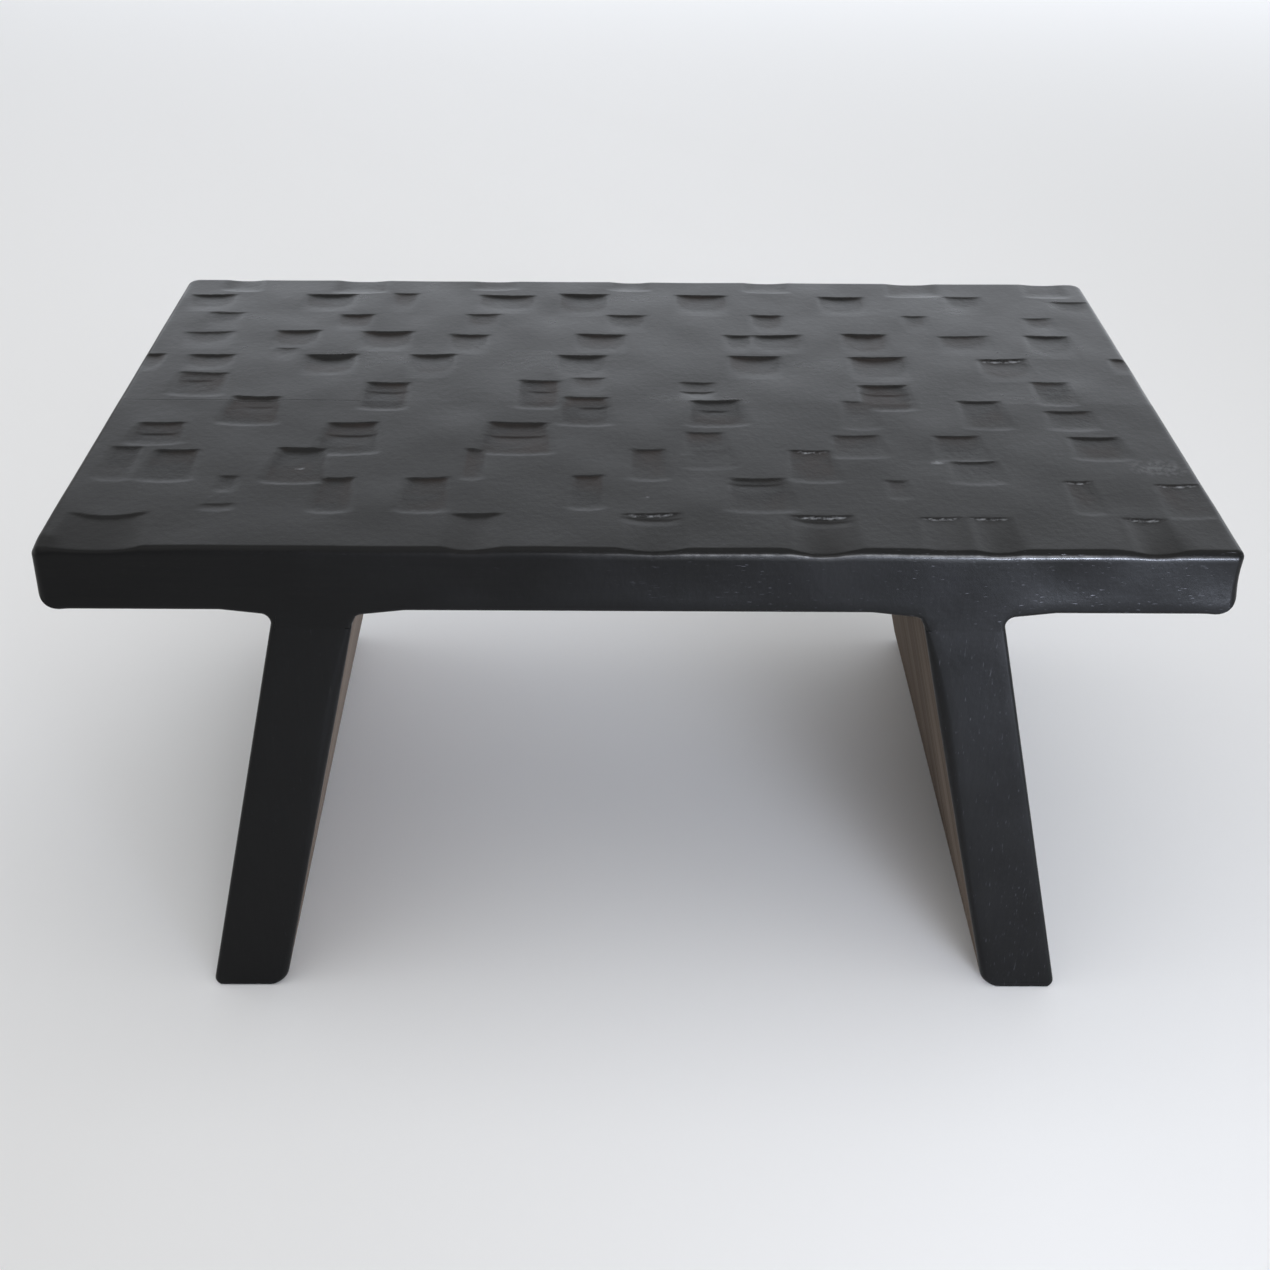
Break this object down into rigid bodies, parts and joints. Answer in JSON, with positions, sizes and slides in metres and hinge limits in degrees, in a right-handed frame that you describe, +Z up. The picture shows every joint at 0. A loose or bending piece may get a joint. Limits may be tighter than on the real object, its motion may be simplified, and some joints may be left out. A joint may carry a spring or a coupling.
{
  "type": "wooden stool",
  "caption": "Low rectangular stool of blackened wood with an adze-carved thick seat on full-depth splayed slab legs.",
  "frame": {"origin": "on the floor, under the middle of the seat", "axes": "+X along the seat's length, -Y out of the front face, +Z up"},
  "size_m": [0.6, 0.39, 0.28],
  "materials": {
    "blackened_wood": "black stain, satin wax, hand adzed",
    "bare_hardwood": "bare, sawn and planed"
  },
  "bodies": {
    "root": {"seat_front_board": "blackened_wood", "seat_back_board": "blackened_wood", "left_leg_front_board": "blackened_wood", "left_leg_back_board": "blackened_wood", "right_leg_front_board": "blackened_wood", "right_leg_back_board": "blackened_wood", "seat_loose_tongue": "bare_hardwood", "left_leg_loose_tongue": "bare_hardwood", "left_tenon_wedge_1": "bare_hardwood", "left_tenon_wedge_2": "bare_hardwood", "left_tenon_wedge_3": "bare_hardwood", "left_tenon_wedge_4": "bare_hardwood", "right_leg_loose_tongue": "bare_hardwood", "right_tenon_wedge_1": "bare_hardwood", "right_tenon_wedge_2": "bare_hardwood", "right_tenon_wedge_3": "bare_hardwood", "right_tenon_wedge_4": "bare_hardwood"}
  },
  "joints": []
}
